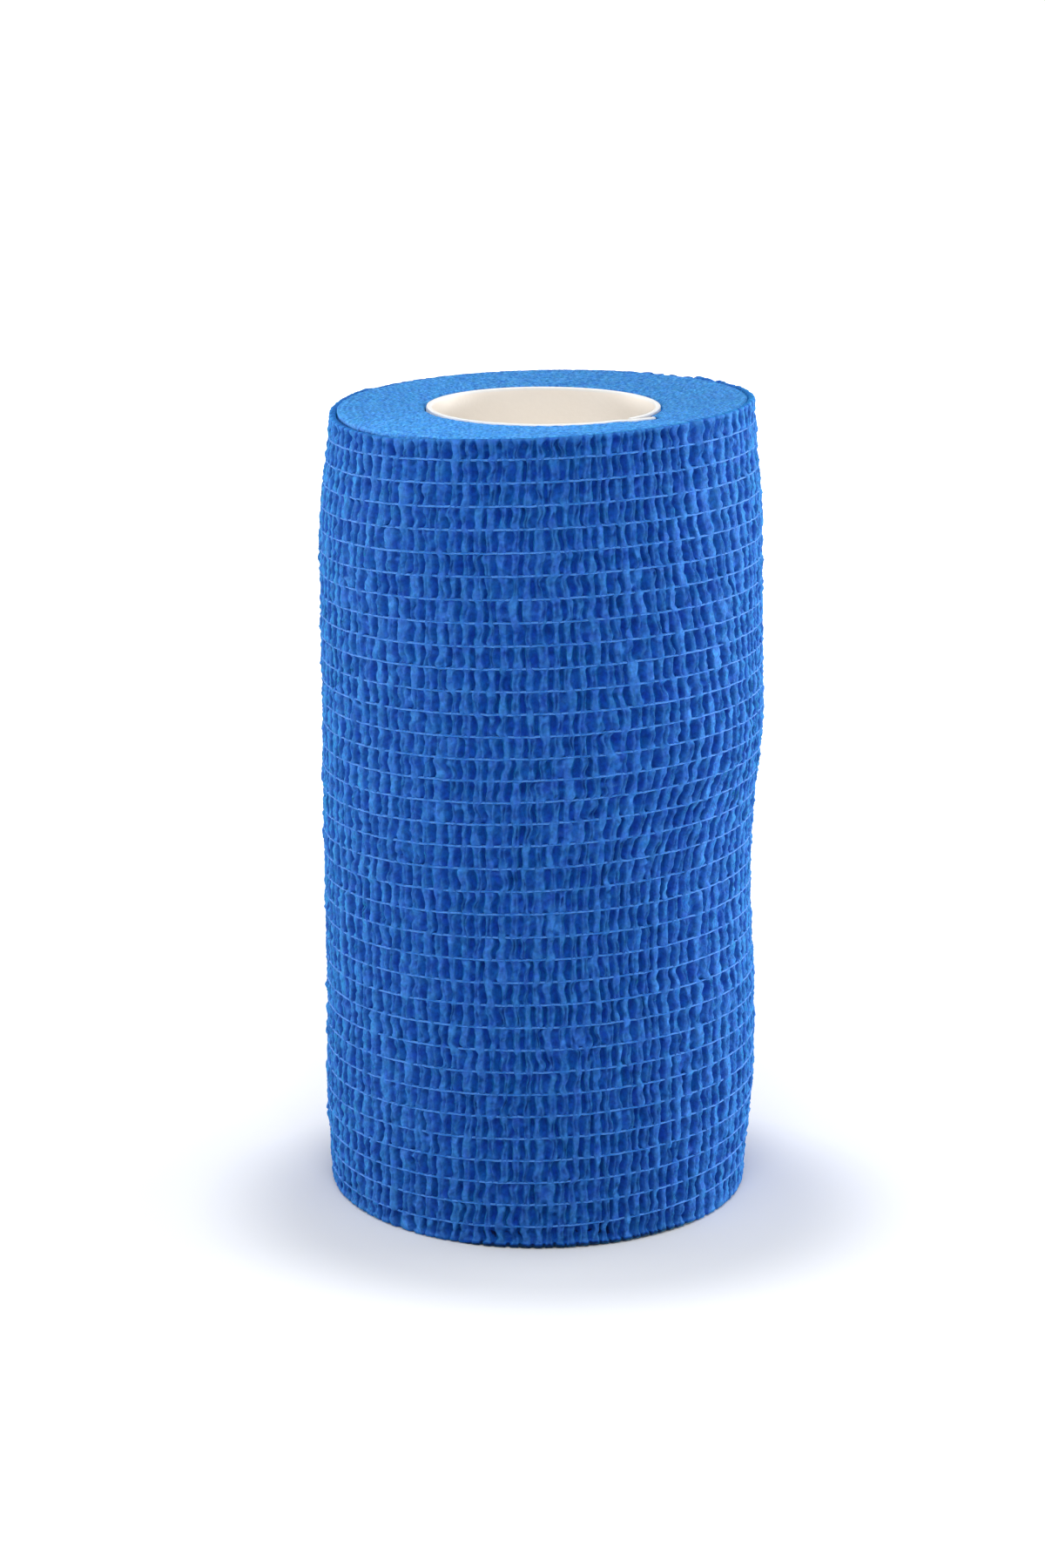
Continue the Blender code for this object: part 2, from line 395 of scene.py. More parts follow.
# How they are shaped, with insets in millimetres, lowest and highest
CREST_DROP = (0.00, 0.22)  # amid a row
CREST_AT_THREAD = (0.04, 0.30)
CREST_AT_EDGE = (0.02, 0.10)
RIDGE_GROOVE = (0.06, 0.40)  # the shallow groove between a ridge's two strands
GROOVE_AT_THREAD = 0.4  # the share of it that is left there
PITTED_SHARE = 0.30  # of the ridges, split for a part of their height by a pit
PIT_DEPTH = (0.18, 0.45)
PIT_MIDDLE = (0.25, 0.75)  # as a share of the row's height
PIT_REACH = 0.17
HOLLOW_DEEP = (0.56, 0.90)
HOLLOW_SHALLOW = (0.28, 0.50)
HOLLOW_AT_THREAD = (0.46, 0.70)
HOLLOW_AT_EDGE = (0.22, 0.45)
SHALLOW_SHARE = 0.03  # of the hollows
HOLLOW_DEEPENS = 0.04  # by this share at the right, and as much shallower at the left
DEEP_ZONE = Zone(-38, -14, 30, 50)
DEEPER_IN_ZONE = 0.24
WIDER_IN_ZONE = 0.06
HOLLOW_HALF_WIDTH = (0.24, 0.33)  # as a share of the distance between its two ridges
HOLLOW_NARROWS = 0.48  # what is left of the width at a thread
HOLLOW_PEAK = (0.30, 0.70)  # how far up the row a hollow is deepest
HOLLOW_BELLY = 0.7  # under 1 it stays deep until it is close to a thread
BRIDGED_SHARE = 0.20  # of the hollows, crossed by a low bridge of cloth
BRIDGE_RISE = (0.15, 0.40)
BRIDGE_MIDDLE = (0.2, 0.8)
BRIDGE_REACH = 0.12

# Columns of points across one ridge, from the middle of the hollow at its left to near that at
# its right: the side of the ridge, the distance from that side's hollow in half widths of the
# hollow and on by a share of a ridge, and the share of the hollow's depth
Column = namedtuple("Column", "side widths_out further drop")
RIDGE_COLUMNS = (
    Column(-1, 0.0, 0.00, 1.00),
    Column(-1, 0.55, 0.00, 0.85),
    Column(-1, 1.0, 0.00, 0.35),
    Column(-1, 1.0, 0.08, 0.00),
    Column(0, None, None, 0.00),  # on the crest
    Column(1, 1.0, 0.08, 0.00),
    Column(1, 1.0, 0.00, 0.35),
    Column(1, 0.55, 0.00, 0.85),
)
COLUMN_LIMIT = 0.8  # no column lies further than this share of the way from hollow to crest

# Where the ridges lean to the right: middle angle and width, height where it starts, most, ends
LEAN_ANGLE = radians(44)
LEAN_WIDTH = radians(24)
LEAN_FOOT, LEAN_MOST, LEAN_HEAD = 0.043, 0.061, 0.095
LEAN_SHIFT = 0.0052


def gathering(angle):
    """How tightly the cloth is gathered round the roll, about 1."""
    front = FRONT_GATHERING * in_zone(angle, FRONT_GATHERED)
    right = RIGHT_GATHERING * in_zone(angle, RIGHT_GATHERED)
    return 1 + front + right + SIDE_GATHERING * in_zone(angle, SIDE_GATHERED)


def spread(dice, limits, *shape):
    return dice.uniform(*limits, size=shape) * MILLIMETRE


def even_out(places, least):
    """Push neighbours apart until few of them lie closer together than the least gap."""
    for _ in range(EVENING_PASSES):
        short = np.clip(least - np.diff(places), 0, None) / 2
        places[:-1] -= short
        places[1:] += short
    return places


# The angle at each ridge place from 0 to the last: the tighter the cloth, the closer they follow
round_roll = round_angles(GATHERING_STEPS)
ridge_count = np.cumsum(gathering(round_roll))
ridge_count = (ridge_count - ridge_count[0]) * RIDGES / (ridge_count[-1] - ridge_count[0])

ridge_dice = np.random.default_rng(RIDGE_SEED)
off_place = ridge_dice.normal(0, RIDGE_OFF_PLACE, RIDGES)
drift = np.zeros(RIDGES)
crest_places, hollow_places = [], []
for row in range(ROWS):
    drift = DRIFT_KEPT * drift + ridge_dice.normal(0, RIDGE_DRIFT, RIDGES)
    crests = even_out(np.arange(RIDGES) + 0.5 + off_place + drift, LEAST_GAP)
    crests = np.clip(crests, CUT_END_ROOM, RIDGES - CUT_END_ROOM)
    off_middle = ridge_dice.uniform(-HOLLOW_OFF_MIDDLE, HOLLOW_OFF_MIDDLE, RIDGES - 1)
    hollows = (crests[:-1] + crests[1:]) / 2 + np.diff(crests) * off_middle
    crest_places.append(crests)
    hollow_places.append(np.concatenate(((0.0,), hollows, (float(RIDGES),))))
crest_inset = spread(ridge_dice, CREST_DROP, ROWS, RIDGES)
hollow_angles = np.interp(np.arange(RIDGES + 1), ridge_count, round_roll)
deep_share = in_zone(hollow_angles, DEEP_ZONE)
deeper = 1 + HOLLOW_DEEPENS * np.sin(hollow_angles) + DEEPER_IN_ZONE * deep_share
deep = spread(ridge_dice, HOLLOW_DEEP, ROWS, RIDGES + 1) * deeper
shallow = spread(ridge_dice, HOLLOW_SHALLOW, ROWS, RIDGES + 1)
hollow_inset = np.where(ridge_dice.random(deep.shape) < SHALLOW_SHARE, shallow, deep)
half_width = np.pad(np.diff(crest_places, axis=1), ((0, 0), (1, 1)), constant_values=1.0)
half_width *= ridge_dice.uniform(*HOLLOW_HALF_WIDTH, size=deep.shape)
half_width *= 1 + WIDER_IN_ZONE * deep_share
hollow_peak = ridge_dice.uniform(*HOLLOW_PEAK, size=deep.shape)
groove = spread(ridge_dice, RIDGE_GROOVE, ROWS, RIDGES)
pitted = ridge_dice.random(groove.shape) < PITTED_SHARE
pit_depth = pitted * spread(ridge_dice, PIT_DEPTH, *groove.shape)
pit_middle = ridge_dice.uniform(*PIT_MIDDLE, groove.shape)
bridged = ridge_dice.random(deep.shape) < BRIDGED_SHARE
bridge_rise = bridged * spread(ridge_dice, BRIDGE_RISE, *deep.shape)
bridge_middle = ridge_dice.uniform(*BRIDGE_MIDDLE, deep.shape)
crest_line_inset = spread(ridge_dice, CREST_AT_THREAD, ROWS + 1, RIDGES)
hollow_line_inset = spread(ridge_dice, HOLLOW_AT_THREAD, ROWS + 1, RIDGES + 1)
for line in (0, ROWS):
    crest_line_inset[line] = spread(ridge_dice, CREST_AT_EDGE, RIDGES)
    hollow_line_inset[line] = spread(ridge_dice, HOLLOW_AT_EDGE, RIDGES + 1)
ridge_sway = ridge_dice.normal(0, RIDGE_SWAY, (ROWS, RIDGES))
ridge_bow = ridge_dice.normal(0, RIDGE_BOW, (ROWS, RIDGES))


def settled(places, row, share):
    """The places of one row's ridges or hollows, eased near a thread towards the next row's."""
    here = places[row]
    under = places[max(row - 1, 0)]
    over = places[min(row + 1, ROWS - 1)]
    low = 0.5 * (1 - smooth_step(share / JOG_SHARE))
    high = 0.5 * (1 - smooth_step((1 - share) / JOG_SHARE))
    return here + (under - here) * low + (over - here) * high


def lean_at(angle, nominal):
    """How far the ridges have been dragged to the right, as an angle."""
    rise = smooth_step((nominal - LEAN_FOOT) / (LEAN_MOST - LEAN_FOOT))
    fall = 1 - smooth_step((nominal - LEAN_MOST) / (LEAN_HEAD - LEAN_MOST))
    off_middle = angle - 2 * pi - LEAN_ANGLE  # angles run on from the cut end, past a whole turn
    across = np.exp(-(off_middle / LEAN_WIDTH) ** 2)
    return LEAN_SHIFT / form_at(nominal, "radius") * rise * fall * across


def ridge_ring(row, share):
    """Angle, nominal height, real height and inset of the ring at a share of a row's height."""
    low, high = line_nominal(row), line_nominal(row + 1)
    nominal = low + (high - low) * share
    sway = ridge_sway[row] * sin(2 * pi * share) + ridge_bow[row] * sin(pi * share)
    crest = settled(crest_places, row, share) + sway
    hollow = settled(hollow_places, row, share)
    hollow[1:-1] += (sway[:-1] + sway[1:]) / 2
    belly = sin(pi * share) ** HOLLOW_BELLY
    to_peak = share ** (np.log(0.5) / np.log(hollow_peak[row]))
    gape = np.sin(pi * to_peak) ** HOLLOW_BELLY
    crest_line = crest_line_inset[row] * (1 - share) + crest_line_inset[row + 1] * share
    hollow_line = hollow_line_inset[row] * (1 - share) + hollow_line_inset[row + 1] * share
    crest_now = crest_line + (crest_inset[row] - crest_line) * belly
    bridge = bridge_rise[row] * np.exp(-((share - bridge_middle[row]) / BRIDGE_REACH) ** 2)
    hollow_now = hollow_line + (hollow_inset[row] - hollow_line) * gape - bridge
    half_now = half_width[row] * (HOLLOW_NARROWS + (1 - HOLLOW_NARROWS) * gape)
    groove_now = groove[row] * (GROOVE_AT_THREAD + (1 - GROOVE_AT_THREAD) * belly)
    pit_now = pit_depth[row] * np.exp(-((share - pit_middle[row]) / PIT_REACH) ** 2)
    place = np.empty((RIDGES, len(RIDGE_COLUMNS)))
    inset = np.empty_like(place)
    for index, column in enumerate(RIDGE_COLUMNS):
        if column.side == 0:
            place[:, index] = crest
            inset[:, index] = crest_now + groove_now + pit_now
            continue
        near = slice(None, -1) if column.side < 0 else slice(1, None)
        out = half_now[near] * column.widths_out + column.further
        out = np.minimum(out, COLUMN_LIMIT * np.abs(crest - hollow[near]))
        place[:, index] = hollow[near] - column.side * out
        inset[:, index] = crest_now + (hollow_now[near] - crest_now) * column.drop
    angle = np.interp(place.ravel(), ridge_count, round_roll)
    angle = angle + lean_at(angle, nominal)
    height = line_height(row, angle) * (1 - share) + line_height(row + 1, angle) * share
    return angle, nominal, height, inset.ravel()


# The rings of points up the cloth, and the outer turn's cut edges
BAND_ROWS = 9
RING_SHARES = (0.0, 0.06, 0.14, 0.25, 0.38, 0.5, 0.62, 0.75, 0.86, 0.94)  # of a row's height
FINE_CRINKLE = 0.33  # millimetres
FINE_SIZE = 0.0006
FINE_STRETCH = 1.1
FINE_AT_THREAD = 0.4
FINE_SEED = 7.0
# Points of a cut edge, in millimetres: how far in from the wall's last ring, and how far beyond
TOP_EDGE = ((0.03, 0.10), (0.10, 0.17), (0.22, 0.20), (0.52, 0.20), (0.66, 0.12), (0.72, -0.3))
BASE_EDGE = ((0.05, 0.26), (0.19, 0.44), (0.38, 0.50), (0.58, 0.50), (0.70, 0.36), (0.74, -0.2))
EDGE_EVEN_FROM = 0.5  # millimetres in, past which the edge follows the ridges least
EDGE_INSET = 0.00015  # the level that it keeps to there
EDGE_FOLLOWS = 0.25  # the share of the ridges' insets that it still follows
TURN_EDGE_DEPTH = 0.0014  # how deep the gap inside the outer turn is
RIM_RUFFLE = 0.05  # millimetres, the top rim's unevenness
RIM_RUFFLE_MORE = 0.30  # at the back right, where it has ruffled up
RIM_RUFFLE_ZONE = Zone(100, 120, 140, 155)
RIM_RUFFLE_SIZE = 0.0011
RIM_RUFFLE_SEED = 30.0

# The colour of the cloth follows its relief, from 0 deep in a hollow to 1 on a crest: a painted
# shade that darkens it from the crests down into the hollows
# painted shade, for the curled base edge
RIM_SHADE = (0.0003, 0.012, 0.085, 1.0)
HOLLOW_PAINTED_SHADE = (0.0015, 0.057, 0.338, 1.0)
RIDGE_BLUE = (0.0105, 0.085, 0.385, 1.0)
RIDGE_PALE = (0.029, 0.145, 0.500, 1.0)
CLOTH_PAINTED_SHADES = (
    (0.0, RIM_SHADE), (0.05, HOLLOW_PAINTED_SHADE), (0.2, HOLLOW_PAINTED_SHADE), (0.65, RIDGE_BLUE),
    (1.0, RIDGE_PALE),
)
RELIEF_DEPTH = 0.85  # millimetres, the inset of relief 0
CUT_EDGE_RELIEF = 0.6  # or more, on the felted top edge
INSIDE_SHADE_SHARE = 0.3  # the share of the edge's relief kept inside the outer turn, a painted shade in the gap there
BASE_EDGE_RELIEF = 0.5
CURL_ZONE = Zone(-30, -12, 38, 55)  # here the base edge is curled under, and painted shade darkens it
CURLED_EDGE_SHADE = 0.9  # this much less relief on the edge, which takes it below 0, into the painted rim shade
CURLED_WALL_SHADE = 0.8  # and this much less on the wall's lowest ring, as painted shade

CLOTH_SPECULAR = 0.12
CLOTH_ROUGHNESS = (0.55, 0.9)
FUZZ = 0.62  # the sheen of its fine fibres
FUZZ_ROUGHNESS = 0.4
FUZZ_BLUE = (0.03, 0.55, 1.0, 1.0)
FIBRE_GRAIN = 3600
FIBRE_HEIGHT = 0.00008
MOTTLE_GRAIN = 1900
MOTTLE_HEIGHT = 0.00030
MOTTLE_SHADES = (0.76, 1.24)
BLOTCH_GRAIN = 1500
BLOTCH_RELIEF = 0.16
HUE_GRAIN = 650
HUE_SPREAD = 0.008  # the dye turns a little towards green and towards violet in patches


def relief_of(inset):
    """How an inset shows in the cloth's colour, as painted shade that deepens with it."""
    return np.clip(1 - inset / (RELIEF_DEPTH * MILLIMETRE), 0, 1)


def edge_points(angle, nominal, height, inset, inward, up):
    """One ring of the outer turn's cut edge. Further in, it follows the ridges less."""
    share = smooth_step(inward / EDGE_EVEN_FROM)
    level = inset + (EDGE_INSET + EDGE_FOLLOWS * (inset - EDGE_INSET) - inset) * share
    return wall_points(angle, nominal, height + up * MILLIMETRE, level + inward * MILLIMETRE)


def rim_ruffle(angle):
    """How far the top rim stands up or down."""
    rim = wall_points(angle, BANDAGE_WIDTH, BANDAGE_WIDTH, 0.0)
    most = (RIM_RUFFLE + RIM_RUFFLE_MORE * in_zone(angle, RIM_RUFFLE_ZONE)) * MILLIMETRE
    return most * crinkle(rim, RIM_RUFFLE_SIZE, RIM_RUFFLE_SEED)


def ring_piece(name, rings, reliefs, sharp_rings, material):
    """A closed ring of cloth from the rings of points round its section, outside first and up."""
    rings = rings + [rings[0]]
    reliefs = reliefs + [reliefs[0]]
    across = len(rings[0])
    bpy.ops.object.select_all(action="DESELECT")
    bpy.ops.mesh.primitive_grid_add(x_subdivisions=across, y_subdivisions=len(rings) - 1, size=1)
    piece = bpy.context.object
    piece.name = name
    points = np.stack(rings)
    move_points(piece, np.concatenate((points, points[:, :1]), axis=1).reshape(-1, 3))
    relief = np.stack(reliefs)
    relief = np.concatenate((relief, relief[:, :1]), axis=1).astype(np.float32)
    attribute = piece.data.attributes.new("relief", "FLOAT", "POINT")
    attribute.data.foreach_set("value", relief.ravel())
    ends = np.empty(len(piece.data.edges) * 2, np.int32)
    piece.data.edges.foreach_get("vertices", ends)
    ring_of = ends.reshape(-1, 2) // (across + 1) % (len(rings) - 1)
    sharp = (ring_of[:, 0] == ring_of[:, 1]) & np.isin(ring_of[:, 0], sharp_rings)
    piece.data.shade_smooth()
    marks = piece.data.attributes.new("sharp_edge", "BOOLEAN", "EDGE")
    marks.data.foreach_set("value", sharp)
    bpy.ops.object.mode_set(mode="EDIT")
    bpy.ops.mesh.select_all(action="SELECT")
    bpy.ops.mesh.remove_doubles(threshold=1e-6)
    bpy.ops.object.mode_set(mode="OBJECT")
    piece.data.materials.append(material)
    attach(piece, "root")
    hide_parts("wound_bandage_cloth")
    return piece


def cloth_nodes(nodes, links, shader, place, base):
    """Fibre grain on cloth: bump, roughness and a mottling of a base colour."""
    fibre = noise_node(nodes, links, place, FIBRE_GRAIN, detail=3.0, roughness=0.62)
    mottle = noise_node(nodes, links, place, MOTTLE_GRAIN)
    shade = range_node(nodes, links, mottle, (NOISE_LOW, NOISE_HIGH), MOTTLE_SHADES)
    mottled = nodes.new("ShaderNodeVectorMath")
    mottled.operation = "SCALE"
    links.new(base, mottled.inputs[0])
    links.new(shade, mottled.inputs["Scale"])
    patches = noise_node(nodes, links, place, HUE_GRAIN)
    turns = (0.5 - HUE_SPREAD, 0.5 + HUE_SPREAD)
    turn = range_node(nodes, links, patches, (NOISE_LOW, NOISE_HIGH), turns)
    hue = nodes.new("ShaderNodeHueSaturation")
    links.new(turn, hue.inputs["Hue"])
    links.new(mottled.outputs["Vector"], hue.inputs["Color"])
    links.new(hue.outputs["Color"], shader.inputs["Base Color"])
    rough = range_node(nodes, links, fibre, (0.0, 1.0), CLOTH_ROUGHNESS)
    links.new(rough, shader.inputs["Roughness"])
    lumps = bump_node(nodes, links, mottle, MOTTLE_HEIGHT, strength=0.6)
    bump = bump_node(nodes, links, fibre, FIBRE_HEIGHT, strength=0.6)
    links.new(lumps.outputs["Normal"], bump.inputs["Normal"])
    links.new(bump.outputs["Normal"], shader.inputs["Normal"])


def crinkled_cloth():
    material, nodes, links, shader = new_material("crinkled_blue_cloth", CLOTH_SPECULAR)
    place = nodes.new("ShaderNodeTexCoord").outputs["Object"]
    relief = nodes.new("ShaderNodeAttribute")
    relief.attribute_name = "relief"
    mixed = nodes.new("ShaderNodeMath")
    mixed.operation = "MULTIPLY_ADD"
    links.new(noise_node(nodes, links, place, BLOTCH_GRAIN), mixed.inputs[0])
    mixed.inputs[1].default_value = BLOTCH_RELIEF
    links.new(relief.outputs["Fac"], mixed.inputs[2])
    # painted shade by relief, deepest in the hollows
    colour = ramp_node(nodes, links, mixed.outputs["Value"], CLOTH_PAINTED_SHADES)
    cloth_nodes(nodes, links, shader, place, colour)
    shader.inputs["Sheen Weight"].default_value = FUZZ
    shader.inputs["Sheen Roughness"].default_value = FUZZ_ROUGHNESS
    shader.inputs["Sheen Tint"].default_value = FUZZ_BLUE
    return material


cloth_finish = crinkled_cloth()
for band in range(ROWS // BAND_ROWS):
    rings, reliefs = [], []
    rows = range(band * BAND_ROWS, (band + 1) * BAND_ROWS)
    for row, share in [(row, share) for row in rows for share in RING_SHARES] + [(rows[-1], 1.0)]:
        angle, nominal, height, inset = ridge_ring(row, share)
        smooth = wall_points(angle, nominal, height, inset)
        fine = FINE_CRINKLE * MILLIMETRE * crinkle(smooth, FINE_SIZE, FINE_SEED, FINE_STRETCH)
        inset = inset + fine * min(1.0, FINE_AT_THREAD + sin(pi * share))
        rings.append(wall_points(angle, nominal, height, inset))
        reliefs.append(relief_of(inset))
    last = len(rings) - 1
    if rows[-1] == ROWS - 1:
        ruffle = rim_ruffle(angle)
        for inward, up in TOP_EDGE:
            rings.append(edge_points(angle, nominal, height + ruffle, inset, inward, up))
            reliefs.append(np.maximum(relief_of(inset), CUT_EDGE_RELIEF))
        head = height - TURN_EDGE_DEPTH
        rings.append(edge_points(angle, nominal, head, inset, TOP_EDGE[-1][0], 0.0))
        rings.append(bore_points(angle, head))
        # painted shade inside the outer turn
        reliefs += [reliefs[-1] * INSIDE_SHADE_SHARE] * 2
    else:
        rings.append(bore_points(angle, height))
        reliefs.append(reliefs[-1])
    angle, nominal, height, inset = ridge_ring(rows[0], 0.0)
    if band == 0:
        under = [
            edge_points(angle, nominal, height, inset, inward, -down) for inward, down in BASE_EDGE
        ]
        foot = height + TURN_EDGE_DEPTH
        under.append(edge_points(angle, nominal, foot, inset, BASE_EDGE[-1][0], 0.0))
        under.append(bore_points(angle, foot))
        rings = under[::-1] + rings
        # painted shade on the curled base edge and the wall's lowest ring
        curl_shade = in_zone(angle, CURL_ZONE)
        reliefs[0] = reliefs[0] - CURLED_WALL_SHADE * curl_shade
        reliefs = [BASE_EDGE_RELIEF - CURLED_EDGE_SHADE * curl_shade] * len(under) + reliefs
        last += len(under)
    else:
        rings.append(bore_points(angle, height))
        reliefs.append(reliefs[0])
    # The wall turns sharply into the roll where the next band goes on, and so does the bore
    caps = [0, len(rings) - 1, len(rings) - 2]
    caps += [last] if rows[-1] < ROWS - 1 else []
    name = f"crinkled_cloth_rows_{rows[0] + 1:02d}_to_{rows[-1] + 1:02d}"
    ring_piece(name, rings, reliefs, caps, cloth_finish)

# ---- The elastic threads -------------------------------------------------------------------
# One fine pale thread lies round the roll under each line between two rows. The cloth was glued
# to them stretched, and gathered when they sprang back. They lie bare where they cross a hollow.

THREAD_RADIUS = 0.00016
THREAD_INSET = 0.00027
THREAD_STEPS = 680
THREAD_SIDES = 3
THREAD_SEED = 5
THREAD_JOG = 0.012  # millimetres, up and down
THREAD_WAVER = 0.02  # millimetres, in and out
JOG_EASE = (0.5, 1.0, 1.0, 1.0, 0.5)  # how far a jog spreads to the points around it
TUCKED_STEPS = 2  # at the cut end the thread dives under the outer turn
TUCK_DEPTH = 0.0008
THREAD_PALE = (0.060, 0.240, 0.72, 1.0)
THREAD_BLUE = (0.015, 0.16, 0.58, 1.0)
THREAD_COLOURS = ((0.40, THREAD_BLUE), (0.56, THREAD_PALE))
THREAD_SPECULAR = 0.2
THREAD_ROUGHNESS = 0.6
THREAD_SHEEN = 0.5
THREAD_SHEEN_ROUGHNESS = 0.35
THREAD_SHEEN_BLUE = (0.25, 0.65, 1.0, 1.0)
THREAD_PATCHES = 750
THREAD_TWIST = 6000
THREAD_TWIST_HEIGHT = 0.00003


def pale_thread():
    material, nodes, links, shader = new_material("pale_elastic_thread", THREAD_SPECULAR)
    place = nodes.new("ShaderNodeTexCoord").outputs["Object"]
    patches = noise_node(nodes, links, place, THREAD_PATCHES, detail=1.0)
    colour = ramp_node(nodes, links, patches, THREAD_COLOURS)
    links.new(colour, shader.inputs["Base Color"])
    shader.inputs["Roughness"].default_value = THREAD_ROUGHNESS
    shader.inputs["Sheen Weight"].default_value = THREAD_SHEEN
    shader.inputs["Sheen Roughness"].default_value = THREAD_SHEEN_ROUGHNESS
    shader.inputs["Sheen Tint"].default_value = THREAD_SHEEN_BLUE
    twist = noise_node(nodes, links, place, THREAD_TWIST, detail=1.0)
    bump = bump_node(nodes, links, twist, THREAD_TWIST_HEIGHT, strength=0.5)
    links.new(bump.outputs["Normal"], shader.inputs["Normal"])
    return material


thread_dice = np.random.default_rng(THREAD_SEED)
angle = round_angles(THREAD_STEPS)
thread_rings = []
for line in range(1, ROWS):
    jogs = thread_dice.normal(0, THREAD_JOG * MILLIMETRE, THREAD_STEPS)
    middle = line_height(line, angle) + np.convolve(jogs, JOG_EASE, "same")
    inset = THREAD_INSET + thread_dice.normal(0, THREAD_WAVER * MILLIMETRE, THREAD_STEPS)
    inset[-TUCKED_STEPS:] += TUCK_DEPTH
    sides = []
    for side in range(THREAD_SIDES):
        turn = 2 * pi * side / THREAD_SIDES
        height = middle + THREAD_RADIUS * sin(turn)
        depth = inset - THREAD_RADIUS * cos(turn)
        sides.append(wall_points(angle, line_nominal(line), height, depth))
    even = [np.ones(THREAD_STEPS)] * THREAD_SIDES
    thread_rings.append(ring_piece(f"thread_{line}", sides, even, [], None))
bpy.ops.object.select_all(action="DESELECT")
for ring in thread_rings:
    ring.select_set(True)
bpy.context.view_layer.objects.active = thread_rings[0]
bpy.ops.object.join()
threads = bpy.context.object
threads.name = "elastic_threads"
threads.data.materials.clear()
threads.data.materials.append(pale_thread())

# ---- The end faces -------------------------------------------------------------------------
# The cut edges of all the inner turns, pressed into a face that looks like felt. They fill the
# space between the core and the outermost turn, flush with it but for a narrow gap.

FACE_GAP = 0.00010
FACE_WIDE_GAP = 0.00024
WIDE_GAP_ZONE = Zone(-100, -75, -45, -25)
SOME_GAP_ZONE = Zone(40, 60, 105, 125)
SOME_GAP = 0.2  # of the way to the wide gap
FACE_BORE_GAP = 0.00005  # past the cloth's own bore
FACE_DEPTH = 0.0016
FACE_EDGE_ROUND = 0.0002
FACE_TURN = 0.0007  # from one turn to the next
FACE_GROOVE = 0.00008
FACE_GRAIN = 0.00007
FACE_GRAIN_SIZE = 0.0009
FACE_FINE_SIZE = 0.0004
FACE_FINE_SHARE = 0.8
CORE_PROUD = 0.0003  # how far the core stands out of the end face
CORE_DIP = 0.12  # the face dips to it over this share of its width
SLANT_POWER = 1.5  # the rim's slant reaches into the face, less and less further in

# Each face, with its points round the roll and across it, and the seed of its noises
EndFace = namedtuple("EndFace", "name steps steps_across at_top seed")
END_FACES = (
    EndFace("end_face_top", 420, 62, True, 20.0),
    EndFace("end_face_base", 240, 40, False, 40.0),
)

FACE_TURN_TONE = 0.09  # how much the turns' edges show in the colour
TURN_TONE_SIZE = 0.005  # of the patches where they show more and less
TURN_TONE_MEAN = 0.6
FACE_BACK = radians(160)  # painted shade darkens the face most here
FACE_BACK_SHADE = 0.22  # by this share
FACE_CORE_SHADE = 0.35  # and painted shade darkens it by this where it meets the core
FACE_EDGE_REACH = 0.02
FACE_BLUE = (0.057, 0.303, 0.752, 1.0)
FACE_PALE = (0.103, 0.392, 0.830, 1.0)
FACE_DARK = (0.028, 0.202, 0.630, 1.0)
FACE_COLOURS = ((0.38, FACE_DARK), (0.50, FACE_BLUE), (0.64, FACE_PALE))
FACE_SPECULAR = 0.2
SPECKLE_GRAIN = 2300


def felt_face():
    """Speckled felt, darker or paler by the tone that the relief attribute holds here: the turns'
    edges, and painted shade towards the back and round the core.
    """
    material, nodes, links, shader = new_material("felted_turn_edges", FACE_SPECULAR)
    place = nodes.new("ShaderNodeTexCoord").outputs["Object"]
    speckle = noise_node(nodes, links, place, SPECKLE_GRAIN, detail=3.0, roughness=0.6)
    colour = ramp_node(nodes, links, speckle, FACE_COLOURS)
    tone = nodes.new("ShaderNodeAttribute")
    tone.attribute_name = "relief"
    toned = nodes.new("ShaderNodeVectorMath")
    toned.operation = "SCALE"
    links.new(colour, toned.inputs[0])
    links.new(tone.outputs["Fac"], toned.inputs["Scale"])
    cloth_nodes(nodes, links, shader, place, toned.outputs["Vector"])
    return material


